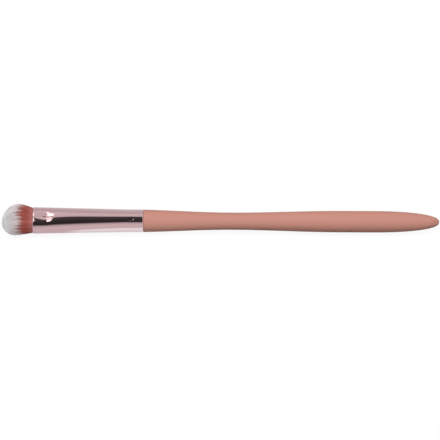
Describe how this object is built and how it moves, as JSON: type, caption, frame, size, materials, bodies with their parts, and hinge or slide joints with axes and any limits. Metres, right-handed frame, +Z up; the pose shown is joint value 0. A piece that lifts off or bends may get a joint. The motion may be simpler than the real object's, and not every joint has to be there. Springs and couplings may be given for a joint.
{
  "type": "eyeshadow brush",
  "caption": "Slim makeup brush: a domed tuft of two-tone fibres in a pressed metal ferrule, crimped onto a turned wooden handle with a slim neck and a rounded tail.",
  "frame": {"origin": "on the table under the middle of the brush, which lies on its side with its axis level", "axes": "+X along the brush from the tuft to the tail, +Y across the wide face of the tuft, +Z up, out of the wide face"},
  "size_m": [0.17, 0.0124, 0.0089],
  "materials": {
    "fibre": "soft synthetic fibre, red-brown at the root and off-white at the tip",
    "thread": "plain sewing thread",
    "epoxy": "cured resin",
    "plated_metal": "mirror polish with a rose plating",
    "glue": "cured adhesive",
    "lacquered_wood": "matte lacquer, pinkish tan"
  },
  "bodies": {
    "root": {"bristles": "fibre", "binding_thread": "thread", "epoxy_plug": "epoxy", "ferrule": "plated_metal", "handle_glue": "glue", "handle": "lacquered_wood"}
  },
  "joints": []
}
